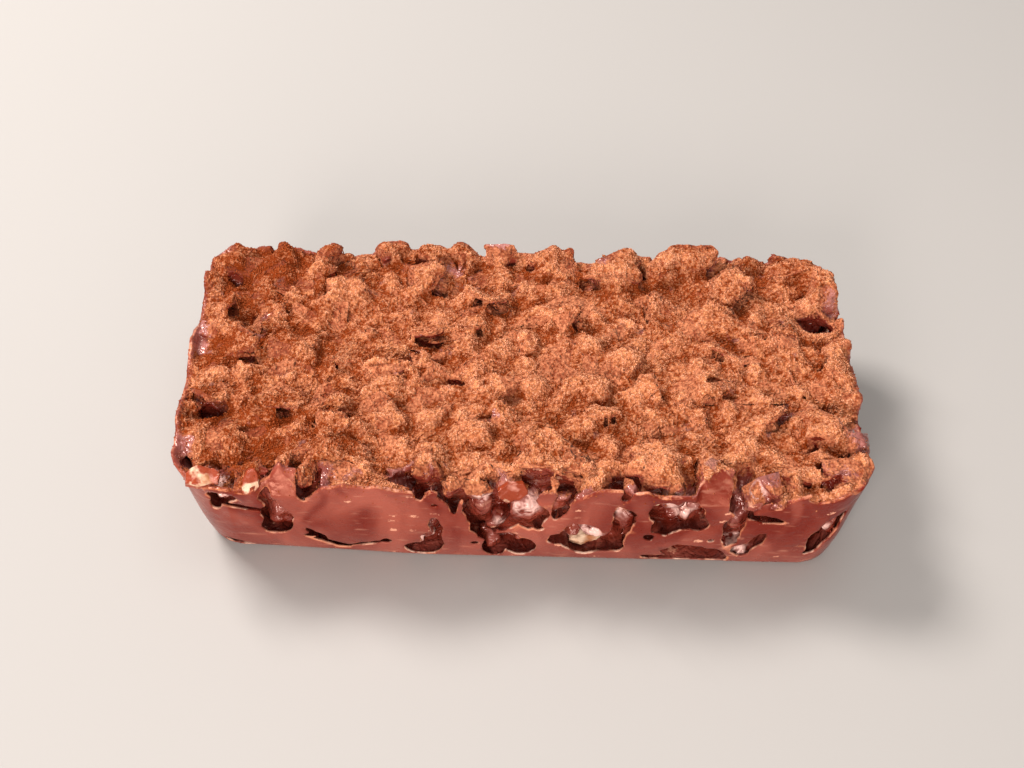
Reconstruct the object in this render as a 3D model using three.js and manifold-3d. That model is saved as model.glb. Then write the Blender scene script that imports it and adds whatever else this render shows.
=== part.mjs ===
// A chocolate biscuit cake: broken biscuit bound in dark chocolate, set cold in a loaf tin and turned out.
// The block keeps the tin's sloped sides and round corners. The chocolate left openings against the tin,
// and the top is a rough heap of coated biscuit. Bare biscuit shards show in openings and at the rim.
// Millimetres, +Z up. The origin is the middle of the flat base, X runs along the loaf and -Y is its front.
import * as THREE from "three";
import { mergeVertices } from "three/addons/utils/BufferGeometryUtils.js";
import Module from "manifold-3d";

const wasm = await Module();
wasm.setup();

// ---- driving dimensions ----
const BASE_LENGTH = 204;
const BASE_WIDTH = 95;
const HEAP_LEVEL = 37.5; // mean height of the heaped top
const HEAP_CEILING = 43.5; // no lump stands higher
const WALL_ANGLE = THREE.MathUtils.degToRad(10.4); // the tin's draft
const CORNER_RADIUS = 13; // plan corners
const FOOT_RADIUS = 3.5; // edge between wall and base
const SHARD_GAP = 0.35; // clearance between a biscuit shard and the pocket it sits in

// ---- grid of the block's skin ----
const CELLS_LONG = 48;
const CELLS_WIDE = 24;
const WALL_LEVELS = [0.02, 0.1, 0.55, 1]; // shares of the local height, above the level cut off at the base
const CUT_DEPTH = 3; // how far the uncut block reaches below its base

// ---- small tools ----
const slope = Math.tan(WALL_ANGLE);

function seededRandom(seed) {
  let state = seed;
  return () => {
    state = (state + 0x6d2b79f5) | 0;
    let t = Math.imul(state ^ (state >>> 15), 1 | state);
    t = (t + Math.imul(t ^ (t >>> 7), 61 | t)) ^ t;
    return ((t ^ (t >>> 14)) >>> 0) / 4294967296;
  };
}

const between = (random, low, high) => low + (high - low) * random();

// A slow wobble between -1 and 1 that makes round forms uneven.
function wobble(x, y, z) {
  const first = Math.sin(1.7 * x + 2.3 * y + 0.9);
  const second = Math.sin(2.9 * y - 1.9 * z + 2.1);
  const third = Math.sin(3.7 * z + 2.1 * x + 4.2);
  return (first + second + third) / 3;
}

function toSolid(geometry) {
  const bare = geometry.clone();
  bare.deleteAttribute("normal");
  bare.deleteAttribute("uv");
  const merged = mergeVertices(bare, 1e-4);
  const mesh = new wasm.Mesh({
    numProp: 3,
    vertProperties: merged.attributes.position.array,
    triVerts: new Uint32Array(merged.index.array),
  });
  return new wasm.Manifold(mesh);
}

function toGeometry(solid) {
  const mesh = solid.getMesh();
  const geometry = new THREE.BufferGeometry();
  geometry.setAttribute("position", new THREE.BufferAttribute(mesh.vertProperties, 3));
  geometry.setIndex(new THREE.BufferAttribute(mesh.triVerts, 1));
  geometry.computeVertexNormals();
  return geometry;
}

const largestBody = (solid) =>
  solid.decompose().reduce((best, body) => (body.volume() > best.volume() ? body : best));

// ---- the heaped top ----
// Lumps that stand out, as [x, y, radius, crown height].
const NAMED_LUMPS = [
  [-101, 45, 8, 42.5],
  [-84, 49, 5, 41.5],
  [-66, 50, 6, 42.8],
  [-47, 52, 6, 42.6],
  [-31, 50, 6.5, 43],
  [-21, 50, 5.5, 43.2],
  [8, 50, 7, 42],
  [33, 45, 10, 43.5],
  [50, 47, 5, 42],
  [96, 46, 7, 42.4],
  [103, 36, 7.5, 43.4],
  [94, -27, 9, 42.6],
  [104, -31, 5.5, 41.5],
  [-28, -43, 6, 42.4],
  [-93, -46, 7, 40.6],
  [11, -38, 9.5, 42.2],
  [41, -43, 9, 43.2],
  [58, -44, 7, 43.4],
  [-60, -41, 8, 41.6],
  [-80, -47, 4, 42],
  [84, -45, 6, 41.4],
];

// Pits between lumps, as [x, y, half-length, half-width, depth, turn in degrees].
const NAMED_PITS = [
  [-99, 37, 4, 2.5, 6, 20],
  [-91, 8, 6, 3, 6, -40],
  [-98, -22, 6.5, 3, 7, 8],
  [-43, 24, 4, 2.5, 5, 30],
  [-30, 36, 6, 2.5, 6, -12],
  [-37, 1, 5, 4, 4.5, 20],
  [-21, -6, 4.5, 1.6, 4, 0],
  [15, 19, 4, 1.6, 4, -35],
  [44, 46, 2.6, 4, 6, 0],
  [100, 23, 8, 3.6, 8, -6],
  [106, -18, 3.5, 4.5, 7, 20],
  [91, -34, 4, 3, 6, 0],
  [8, -46, 7, 3, 8, -12],
  [30, -49, 8, 3, 8, 6],
  [-35, -47, 3, 3, 8, 0],
  [-66, -49, 3, 6, 7, 0],
  [-88, -44, 6, 3, 6, 10],
  [70, -47, 3.5, 8, 10, -6],
];

const LUMP_PITCH = 10.5; // spacing of the ordinary lumps
const VALLEY_DROP = 2.4; // how far the ground between lumps lies below the heap's mean level

function ordinaryLumps() {
  const random = seededRandom(7);
  const lumps = [];
  const columns = Math.round((BASE_LENGTH + 12) / LUMP_PITCH);
  const rows = Math.round((BASE_WIDTH + 12) / LUMP_PITCH);
  for (let i = 0; i <= columns; i++) {
    for (let j = 0; j <= rows; j++) {
      const x = (i - columns / 2 + between(random, -0.38, 0.38)) * LUMP_PITCH;
      const y = (j - rows / 2 + between(random, -0.38, 0.38)) * LUMP_PITCH;
      const radius = between(random, 4.4, 7.4);
      lumps.push([x, y, radius, HEAP_LEVEL + between(random, -0.8, 2.6)]);
    }
  }
  return lumps;
}

const LUMPS = [...NAMED_LUMPS, ...ordinaryLumps()];

function lumpSurface([x, y, radius, crown], px, py) {
  const away = Math.hypot(px - x, py - y) / radius;
  return away < 1 ? crown - 5.5 * (1 - Math.sqrt(1 - away * away)) : -Infinity;
}

function pitDepth([x, y, long, wide, depth, turn], px, py) {
  const angle = THREE.MathUtils.degToRad(turn);
  const along = (px - x) * Math.cos(angle) + (py - y) * Math.sin(angle);
  const across = (py - y) * Math.cos(angle) - (px - x) * Math.sin(angle);
  const away = (along / long) ** 2 + (across / wide) ** 2;
  return away < 1 ? depth * (1 - away) : 0;
}

function heapHeight(x, y) {
  let height = HEAP_LEVEL - VALLEY_DROP + 0.8 * wobble(x / 11, y / 11, 0);
  for (const lump of LUMPS) height = Math.max(height, lumpSurface(lump, x, y));
  for (const pit of NAMED_PITS) height -= pitDepth(pit, x, y);
  return Math.min(height, HEAP_CEILING);
}

// ---- the block as it leaves the tin ----
function footInset(z) {
  if (z >= FOOT_RADIUS) return 0;
  const below = FOOT_RADIUS - Math.max(z, 0);
  return FOOT_RADIUS - Math.sqrt(FOOT_RADIUS ** 2 - below ** 2);
}

// Maps the square -1..1 onto the tin's rounded rectangle at height z.
function planPoint(u, v, z) {
  const grow = z * slope - footInset(z);
  const flatX = BASE_LENGTH / 2 + grow - CORNER_RADIUS;
  const flatY = BASE_WIDTH / 2 + grow - CORNER_RADIUS;
  const x = u * (flatX + CORNER_RADIUS);
  const y = v * (flatY + CORNER_RADIUS);
  const overX = Math.max(Math.abs(x) - flatX, 0);
  const overY = Math.max(Math.abs(y) - flatY, 0);
  const reach = Math.hypot(overX, overY);
  const pull = reach > 0 ? Math.max(overX, overY) / reach : 1;
  return [
    Math.sign(x) * (Math.min(Math.abs(x), flatX) + overX * pull),
    Math.sign(y) * (Math.min(Math.abs(y), flatY) + overY * pull),
  ];
}

function blockSolid() {
  const geometry = new THREE.BoxGeometry(2, 2, 1, CELLS_LONG, CELLS_WIDE, WALL_LEVELS.length);
  const position = geometry.attributes.position;
  for (let i = 0; i < position.count; i++) {
    const u = position.getX(i);
    const v = position.getY(i);
    const level = Math.round((position.getZ(i) + 0.5) * WALL_LEVELS.length);
    const top = heapHeight(...planPoint(u, v, HEAP_LEVEL));
    const z = level === 0 ? -CUT_DEPTH : WALL_LEVELS[level - 1] * top;
    position.setXYZ(i, ...planPoint(u, v, z), z);
  }
  const underside = new THREE.BoxGeometry(2 * BASE_LENGTH, 2 * BASE_WIDTH, 2 * CUT_DEPTH);
  underside.translate(0, 0, -CUT_DEPTH);
  return toSolid(geometry).subtract(toSolid(underside));
}

// ---- openings in the walls ----
// Each side has its own turn about Z and the distance of its foot from the middle.
const SIDES = {
  front: { turn: 0, reach: BASE_WIDTH / 2 },
  right: { turn: Math.PI / 2, reach: BASE_LENGTH / 2 },
  back: { turn: Math.PI, reach: BASE_WIDTH / 2 },
  left: { turn: -Math.PI / 2, reach: BASE_LENGTH / 2 },
};

// A frame on a wall: X along it, Y into the block and Z up its slope, at a distance along it and a height.
function wallFrame(side, along, z, inward) {
  const { turn, reach } = SIDES[side];
  const lean = new THREE.Matrix4().makeRotationX(WALL_ANGLE);
  const place = new THREE.Matrix4().makeTranslation(along, -(reach + z * slope), z);
  const sink = new THREE.Matrix4().makeTranslation(0, inward, 0);
  return new THREE.Matrix4().makeRotationZ(turn).multiply(place).multiply(lean).multiply(sink);
}

const OPENING_DEPTH = 6.5; // from the wall to the floor of an opening
const OPENING_CLEAR = 1.5; // how far the cutting body stands out of the wall
const FLOOR_ROUNDING = 2.2; // the last stretch, over which an opening narrows towards its floor
const OUTLINE_POINTS = 9;

// One lobe of an opening, as [along, height, half-length, half-height, tilt in degrees].
function openingSolid(side, [along, z, halfLength, halfHeight, tilt]) {
  const small = Math.min(halfLength, halfHeight);
  const points = small < 1.3 ? 6 : OUTLINE_POINTS;
  const outline = [];
  for (let i = 0; i < points; i++) {
    const angle = (i / points) * 2 * Math.PI;
    const uneven = 1 + 0.32 * wobble(Math.cos(angle) + along, Math.sin(angle) + z, 2 * angle);
    outline.push(new THREE.Vector2(halfLength * uneven * Math.cos(angle), halfHeight * uneven * Math.sin(angle)));
  }
  const depth = Math.min(OPENING_DEPTH, 2.6 * small) - FLOOR_ROUNDING / 2;
  const geometry = new THREE.ExtrudeGeometry(new THREE.Shape(outline), {
    depth: depth + OPENING_CLEAR,
    bevelThickness: FLOOR_ROUNDING / 2,
    bevelSize: small * 0.3,
    bevelOffset: -small * 0.3,
    bevelSegments: 1,
  });
  geometry.rotateX(Math.PI / 2);
  geometry.rotateY(-THREE.MathUtils.degToRad(tilt));
  geometry.applyMatrix4(wallFrame(side, along, z, depth));
  return toSolid(geometry);
}

const FRONT_OPENINGS = [
  [-90.3, 33.8, 3.6, 2.2, 0],
  [-92.2, 29.4, 2, 3.6, 8],
  [-84.4, 27.4, 5, 1.1, -30],
  [-75.4, 24.5, 4.7, 6.6, -8],
  [-74.8, 14.6, 3.8, 4.2, 0],
  [-75, 31.6, 1.9, 2.8, 0],
  [-64.6, 38.4, 2.1, 5, -8],
  [-61, 7, 5.4, 1.6, -36],
  [-41.7, 8.6, 1, 1.2, 0],
  [-46.6, 4.4, 2.2, 1.7, 0],
  [-30.4, 11.4, 5, 5, 35],
  [-26.4, 16, 2.4, 5.6, -8],
  [-20, 33.5, 1.7, 6, 0],
  [-12.6, 26, 3, 8.6, 6],
  [-7.6, 12.6, 4.2, 7.4, 0],
  [0.4, 8.6, 4, 4.8, 0],
  [-5.4, 26, 4.6, 6.6, 0],
  [3.8, 27, 3.6, 8.6, 0],
  [6.6, 19, 1, 1.2, 0],
  [13.4, 29.6, 1.8, 2.6, -30],
  [15.4, 11.4, 5.2, 6, 20],
  [24.4, 12.6, 6, 7, -10],
  [32.4, 18, 2, 7.6, 14],
  [32.4, 39.6, 2, 4.4, -10],
  [44.6, 28.6, 4, 8.4, 14],
  [51.4, 29.4, 4.8, 8.6, -6],
  [41.2, 15, 1.2, 1.9, 0],
  [53.6, 5.4, 6.6, 5.2, -4],
  [45, 1.6, 3.6, 1.5, -6],
  [68.8, 28, 2.1, 12, -5],
  [71.4, 6.6, 4.4, 6, 12],
  [76.6, 29, 4.6, 3.2, -6],
  [90.4, 38.6, 3.2, 2, 0],
];

// Openings on a side where they are only scattered: clusters of lobes, each lobe leaning on the last.
function scatteredOpenings(seed, clusters, halfSpan) {
  const random = seededRandom(seed);
  const lobes = [];
  for (let i = 0; i < clusters; i++) {
    let along = halfSpan * (((i + between(random, 0.25, 0.75)) / clusters) * 2 - 1);
    let z = between(random, 7, 31);
    for (let j = 0; j < 3; j++) {
      const halfLength = between(random, 1.6, 5.6);
      const halfHeight = between(random, 1.6, 6);
      lobes.push([along, z, halfLength, halfHeight, between(random, -40, 40)]);
      along += between(random, -1, 1) * (halfLength + 2);
      z = THREE.MathUtils.clamp(z + between(random, -1, 1) * (halfHeight + 3), 4, 35);
    }
  }
  return lobes;
}

const OPENINGS = {
  front: FRONT_OPENINGS,
  back: scatteredOpenings(31, 7, BASE_LENGTH * 0.47),
  right: scatteredOpenings(32, 3, BASE_WIDTH * 0.42),
  left: scatteredOpenings(35, 3, BASE_WIDTH * 0.42),
};

// ---- bare biscuit shards ----
const SHARD_SIDES = 7;

// A snapped piece of biscuit: an uneven flat outline with a thickness, centred on its own middle.
function shardGeometry({ length, width, thickness, seed }, extra = 0) {
  const random = seededRandom(seed);
  const outline = [];
  for (let i = 0; i < SHARD_SIDES; i++) {
    const angle = ((i + between(random, -0.22, 0.22)) / SHARD_SIDES) * 2 * Math.PI;
    const reach = between(random, 0.82, 1.08);
    const x = (length / 2 + extra) * reach * Math.cos(angle);
    const y = (width / 2 + extra) * reach * Math.sin(angle);
    outline.push(new THREE.Vector2(x, y));
  }
  const depth = thickness + 2 * extra;
  const geometry = new THREE.ExtrudeGeometry(new THREE.Shape(outline), { depth, bevelEnabled: false });
  return geometry.translate(0, 0, -depth / 2);
}

// Where each shard sits: along the front wall, its height, how far its middle lies in, and its turns in degrees.
const SHARDS = [
  { along: -95, z: 37.8, inward: 4.4, length: 13, width: 8, thickness: 3.4, turns: [14, 6, 12], seed: 3 },
  { along: -80.6, z: 38.2, inward: 3.8, length: 9.5, width: 6, thickness: 3.6, turns: [62, 0, 70], seed: 5 },
  { along: -2.4, z: 36.6, inward: 2.6, length: 11, width: 9, thickness: 3, turns: [72, 12, 0], seed: 8 },
  { along: 21.6, z: 5.4, inward: 4.6, length: 13, width: 6, thickness: 3, turns: [22, 0, 8], seed: 11 },
  { along: 41.8, z: 33.2, inward: 3.4, length: 6, width: 5, thickness: 2.8, turns: [70, 30, 10], seed: 14 },
  { along: 49.6, z: 5.2, inward: 4.6, length: 8, width: 5, thickness: 2.6, turns: [50, 38, 0], seed: 17 },
];

function placedShard(shard, extra) {
  const [tip, roll, spin] = shard.turns.map(THREE.MathUtils.degToRad);
  const geometry = shardGeometry(shard, extra);
  geometry.rotateZ(spin).rotateY(roll).rotateX(tip);
  geometry.translate(shard.along, -(BASE_WIDTH / 2 + shard.z * slope) + shard.inward, shard.z);
  return geometry;
}

// ---- assembly ----
function chocolateBlock() {
  let block = blockSolid();
  for (const [side, lobes] of Object.entries(OPENINGS)) {
    for (const lobe of lobes) block = block.subtract(openingSolid(side, lobe));
  }
  for (const shard of SHARDS) block = block.subtract(toSolid(placedShard(shard, SHARD_GAP)));
  return toGeometry(largestBody(block));
}

function named(name, geometry, material) {
  const mesh = new THREE.Mesh(geometry, material);
  mesh.name = name;
  return mesh;
}

const chocolate = new THREE.MeshStandardMaterial({ color: 0x5a2a1c, roughness: 0.35, metalness: 0 });
const biscuit = new THREE.MeshStandardMaterial({ color: 0xd09a5c, roughness: 0.85, metalness: 0 });

const cake = new THREE.Group();
cake.add(named("chocolate_block", chocolateBlock(), chocolate));
SHARDS.forEach((shard, i) => {
  const geometry = toGeometry(toSolid(placedShard(shard, 0)));
  cake.add(named(`biscuit_shard_${i + 1}`, geometry, biscuit));
});

export default cake;
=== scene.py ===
"""A chocolate biscuit cake, set cold in a loaf tin, turned out and dusted with cocoa powder.

The block is worked out as one solid field on a fine grid: the tin's shape, the openings that the chocolate
left against the tin with coated biscuit behind them, and the heap of lumps and flakes on top. The cocoa lies
on it as a sieved layer with loose grains. Lengths are in millimetres until a mesh is made.
"""

from math import atan, cos, hypot, pi, radians, sin, sqrt, tan

import bpy
import numpy as np
import openvdb
from mathutils import Matrix, Vector


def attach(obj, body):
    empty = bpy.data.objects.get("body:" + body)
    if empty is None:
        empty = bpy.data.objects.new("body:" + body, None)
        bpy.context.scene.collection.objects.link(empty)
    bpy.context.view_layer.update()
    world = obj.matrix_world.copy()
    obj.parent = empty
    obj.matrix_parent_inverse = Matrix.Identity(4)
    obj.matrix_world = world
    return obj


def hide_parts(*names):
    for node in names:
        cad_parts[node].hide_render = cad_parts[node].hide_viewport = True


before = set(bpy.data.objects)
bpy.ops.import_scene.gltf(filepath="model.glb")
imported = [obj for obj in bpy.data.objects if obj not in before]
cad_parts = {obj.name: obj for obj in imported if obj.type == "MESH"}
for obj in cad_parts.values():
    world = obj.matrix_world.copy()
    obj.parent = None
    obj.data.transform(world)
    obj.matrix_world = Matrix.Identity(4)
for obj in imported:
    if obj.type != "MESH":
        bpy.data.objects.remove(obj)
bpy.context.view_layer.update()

MM = 0.001

# ---------------- sizes of the cake
BASE_HALF_LENGTH = 102.0
BASE_HALF_WIDTH = 47.5
WALL_SLOPE = tan(radians(10.4))
CORNER_RADIUS = 13.0
FOOT_RADIUS = 1.2
HEAP_LEVEL = 37.5
HEAP_CEILING = 43.6
VALLEY_DROP = 1.7
LUMP_PITCH = 10.5
RIM_WEAR = 4.5  # how much rounder the front corners are at the rim
END_SKEW = 2.2  # how far the left end draws in towards the front
FOOT_SPREAD = 2.4  # how far the front wall's foot stands out past the tin's taper
SKIN = 1.0  # thickness of the chocolate skin in front of an opening's hollow
OPENINGS_TOP = 29.5  # how high the openings of the back and the ends reach
DEEPEST_HOLLOW = 15.0
CRUMB_COUNT = 900
FLAKE_COUNT = 75
VOXEL = 0.46
COCOA_STEP = 0.53  # spacing of the cocoa layer's points
MOST_TRIANGLES = 198000


# ---------------- camera, lights and floor
CAMERA_PITCH = radians(47.38)
CAMERA_YAW = radians(0.27)
CAMERA_ROLL = radians(1.5)
CAMERA_AIM = Vector((-2.6, 26.2, 0.0)) * MM
CAMERA_DISTANCE = 501.8 * MM
CAMERA_LENS = 49.22


def new_object(name, data):
    made = bpy.data.objects.new(name, data)
    bpy.context.scene.collection.objects.link(made)
    return made


def place_camera():
    level_part = cos(CAMERA_PITCH)
    ahead = Vector((sin(CAMERA_YAW) * level_part, cos(CAMERA_YAW) * level_part, -sin(CAMERA_PITCH)))
    level = Vector((cos(CAMERA_YAW), -sin(CAMERA_YAW), 0.0))
    upright = level.cross(ahead)
    right = cos(CAMERA_ROLL) * level + sin(CAMERA_ROLL) * upright
    up = cos(CAMERA_ROLL) * upright - sin(CAMERA_ROLL) * level
    camera = new_object("camera", bpy.data.cameras.new("camera"))
    camera.data.lens = CAMERA_LENS
    camera.data.sensor_width = 36.0
    camera.data.clip_start = 0.01
    turn = Matrix((right, up, -ahead)).transposed().to_4x4()
    camera.matrix_world = Matrix.Translation(CAMERA_AIM - ahead * CAMERA_DISTANCE) @ turn
    bpy.context.scene.camera = camera


# Soft lights that look at the cake, as (name, place in metres, size in metres, watts, colour).
SOFTBOXES = [
    ("window", (-0.72, 0.54, 1.02), (0.5, 0.4), 22.5, "#FFF8F4"),
    ("overhead", (0.15, 0.1, 1.2), (0.7, 0.7), 3, "#FFFFFF"),
    ("front fill", (0.2, -1.2, 0.35), (0.9, 0.5), 7.5, "#FFF6EE"),
    ("front window", (-0.35, -0.95, 0.5), (0.3, 0.36), 8, "#FFF4F0"),
]
SOFTBOX_AIM = Vector((0, 0, 0.02))


def add_softbox(name, place, size, watts, colour):
    light = bpy.data.lights.new(name, "AREA")
    light.shape = "RECTANGLE"
    light.size, light.size_y = size
    light.energy = watts
    light.color = linear(colour)[:3]
    softbox = new_object(name, light)
    softbox.location = place
    softbox.rotation_euler = (SOFTBOX_AIM - Vector(place)).to_track_quat("-Z", "Y").to_euler()


# ---------------- small tools
def linear(srgb):
    """An sRGB hex colour as linear RGBA."""
    parts = [int(srgb[i:i + 2], 16) / 255 for i in (1, 3, 5)]
    return (*[c / 12.92 if c <= 0.04045 else ((c + 0.055) / 1.055) ** 2.4 for c in parts], 1.0)


def seeded_random(seed):
    """Draws between two limits. The solid model's lumps and openings are made from the same ones."""
    state = seed

    def draw(low=0, high=1):
        nonlocal state
        state = (state + 0x6D2B79F5) & 0xFFFFFFFF
        t = ((state ^ (state >> 15)) * (1 | state)) & 0xFFFFFFFF
        t = ((t + ((t ^ (t >> 7)) * (61 | t))) ^ t) & 0xFFFFFFFF
        return low + (high - low) * ((t ^ (t >> 14)) / 2 ** 32)

    return draw


def wobble(x, y):
    """The slow rise and fall of the ground under the heap."""
    x, y = x / 11, y / 11
    return 0.8 * ((np.sin(1.7 * x + 2.3 * y + 0.9) + np.sin(2.9 * y + 2.1) + np.sin(2.1 * x + 4.2)) / 3)


def smoothstep(low, high, value):
    t = np.clip((value - low) / (high - low), 0, 1)
    return t * t * (3 - 2 * t)


def soft_min(a, b, reach):
    """The nearer of two surfaces, filleted over the given reach."""
    h = np.maximum(reach - np.abs(a - b), 0) / reach
    return np.minimum(a, b) - h * h * reach * 0.25


def soft_max(a, b, reach):
    return -soft_min(-a, -b, reach)


def noise(axes, wavelength, seed):
    """Smooth noise on a grid with the given axes, about -1 to 1, from a cubic blend of a random lattice."""
    weights = []
    for axis in axes:
        t = (axis - axis[0]) / wavelength
        whole = np.floor(t).astype(int)
        f = t - whole
        rows = np.arange(len(axis))
        blend = np.zeros((len(axis), whole[-1] + 4), np.float32)
        cubics = (1 - f) ** 3, 3 * f ** 3 - 6 * f ** 2 + 4, -3 * f ** 3 + 3 * f ** 2 + 3 * f + 1, f ** 3
        for k, cubic in enumerate(cubics):
            blend[rows, whole + k] = cubic / 6
        weights.append(blend)
    out = np.random.default_rng(seed).uniform(-1, 1, [w.shape[1] for w in weights]).astype(np.float32)
    for i, blend in enumerate(weights):
        out = np.moveaxis(np.tensordot(blend, np.moveaxis(out, i, 0), 1), 0, i)
    return np.ascontiguousarray(out) / (2.2 * out.std())


def layered(axes, *layers, base=0):
    """Noises, each given as (height, wavelength, seed), added onto a base."""
    return sum((height * noise(axes, wavelength, seed) for height, wavelength, seed in layers), base)


def rounded_distance(across_x, across_y, radius):
    """How far out of a rounded corner a point lies, from its distances past the corner's centre."""
    outside = np.hypot(np.maximum(across_x, 0), np.maximum(across_y, 0))
    return outside + np.minimum(np.maximum(across_x, across_y), 0) - radius


def sample(volume, axes, points):
    """Values of a grid at scattered points, blended from the nearest corners."""
    where = []
    for axis, coordinate in zip(axes, points.T):
        t = np.clip((coordinate - axis[0]) / (axis[1] - axis[0]), 0, len(axis) - 1.001)
        where.append((t.astype(int), t - t.astype(int)))
    total = 0
    for corner in range(2 ** len(axes)):
        weight = 1
        index = []
        for k, (whole, part) in enumerate(where):
            step = corner >> k & 1
            weight = weight * (part if step else 1 - part)
            index.append(whole + step)
        total = total + weight * volume[tuple(index)]
    return total


# ---------------- where lumps, pits and openings lie
# Lumps that stand out of the heap, as (x, y, radius, crown height).
NAMED_LUMPS = [
    (-101, 45, 8, 42.5), (-84, 49, 5, 41.5), (-66, 50, 6, 42.8), (-47, 52, 6, 42.6), (-31, 50, 6.5, 43),
    (-21, 50, 5.5, 43.2), (8, 50, 7, 42), (33, 45, 10, 43.5), (50, 47, 5, 42), (96, 46, 7, 42.4),
    (103, 36, 7.5, 43.4), (94, -27, 9, 42.6), (104, -31, 5.5, 41.5), (-28, -43, 6, 42.4), (-93, -46, 7, 40.6),
    (11, -38, 9.5, 42.2), (41, -43, 9, 43.2), (58, -44, 7, 43.4), (-60, -41, 8, 41.6), (-80, -47, 4, 42),
    (84, -45, 6, 41.4), (104, -43, 5.5, 42.6), (97, -47, 5, 41.8), (105, -12, 5, 41.6), (104.5, 8, 5.5, 41.8),
    (-70, -46, 5.5, 41.4), (-49, -48, 5, 41.2), (104, -2, 5, 41), (8, -50, 5, 39.4), (-59.5, -51, 3.6, 40.2),
    (2, -46, 5, 40.6),
]

# Pits between lumps, as (x, y, half-length, half-width, depth, turn in degrees).
NAMED_PITS = [
    (-99, 37, 4, 2.5, 6, 20), (-91, 8, 6, 3, 6, -40), (-98, -22, 6.5, 3, 7, 8), (-43, 24, 4, 2.5, 5, 30),
    (-30, 36, 6, 2.5, 6, -12), (-37, 1, 5, 4, 4.5, 20), (-21, -6, 4.5, 1.6, 4, 0), (15, 19, 4, 1.6, 4, -35),
    (44, 46, 2.6, 4, 6, 0), (99, 23, 7.5, 3.4, 8, -6), (98, -18, 3, 3.6, 5, 20), (91, -34, 4, 3, 6, 0),
    (9, -46, 4.6, 0.9, 3, -10), (17, -50, 2.4, 2.4, 6, 0), (31, -49, 6, 2.6, 7, 6), (-35, -47, 3, 3, 8, 0),
    (-65, -50, 2.2, 4, 5, 0), (-88, -44, 6, 3, 6, 10), (70, -47, 3.5, 8, 10, -6),
]

# Thin flakes lying in the heap, as (x, y, z, radius, tip about X, roll about Y), angles in degrees.
NAMED_FLAKES = [
    (10, -40, 41.2, 10, 8, 4), (-34, 40, 41.8, 7.5, 24, 6), (-75, -19, 39.2, 7.5, -14, 8), (-44, -4, 40, 5, 38, 0),
    (-32, 13, 40, 6, -34, -12), (-9, 51, 42, 6, 58, 4), (15, 20, 40, 4.5, 46, -28), (-92, 6, 40.4, 7, 20, -24),
    (-97, -17, 40.4, 7, -24, 6), (72, 38, 41.4, 8, 16, -12), (58, 50, 41.6, 7, 30, 0), (66, 6, 39.6, 6, -30, 16),
    (-60, 30, 40.4, 7, 22, 14), (40, -12, 39.6, 6, 30, -20), (-12, 30, 40, 7, -22, 10), (88, 12, 40, 7, 22, 24),
    (-58, -30, 40, 6, 34, -18), (26, -22, 40, 5, -36, 10), (48, 26, 40, 6, 26, 22), (-100, 22, 40.6, 6, -18, -34),
    (-5, -22, 39.6, 5, 30, 20), (78, -22, 40.2, 6, -26, -22),
]

# Places where no cocoa settled and glossy chocolate shows, as (x, y, half-length, half-width).
BARE_PATCHES = [
    (-104, -40, 5, 9), (-93, -48, 7, 4), (-56, -47, 7, 4), (-38, -46, 4, 4), (-28, -50, 5, 3), (-4, -50, 5, 3),
    (20, -52, 3, 2), (36, -52, 5, 2), (51, -53, 5, 2.4), (76, -47, 6, 5), (98, -44, 7, 6), (105, -30, 4, 9),
    (-106, 10, 3, 9), (-44, -5, 5, 2), (-32, 12, 5, 2), (-8, 53, 6, 3), (28, 48, 6, 4), (-24, 44, 4, 3),
    (-103, 48, 4, 3), (-60, 22, 4, 2), (20, 26, 3, 2), (64, -8, 4, 2), (88, -18, 5, 2), (-84, -30, 4, 2),
    (-10, -24, 3, 2), (104, 30, 4, 5), (-88, 18, 3, 3), (46, 34, 3, 2), (-72.4, -51, 5, 5), (60, -51, 5.4, 5),
    (-59, -51, 3, 3),
]

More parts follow.
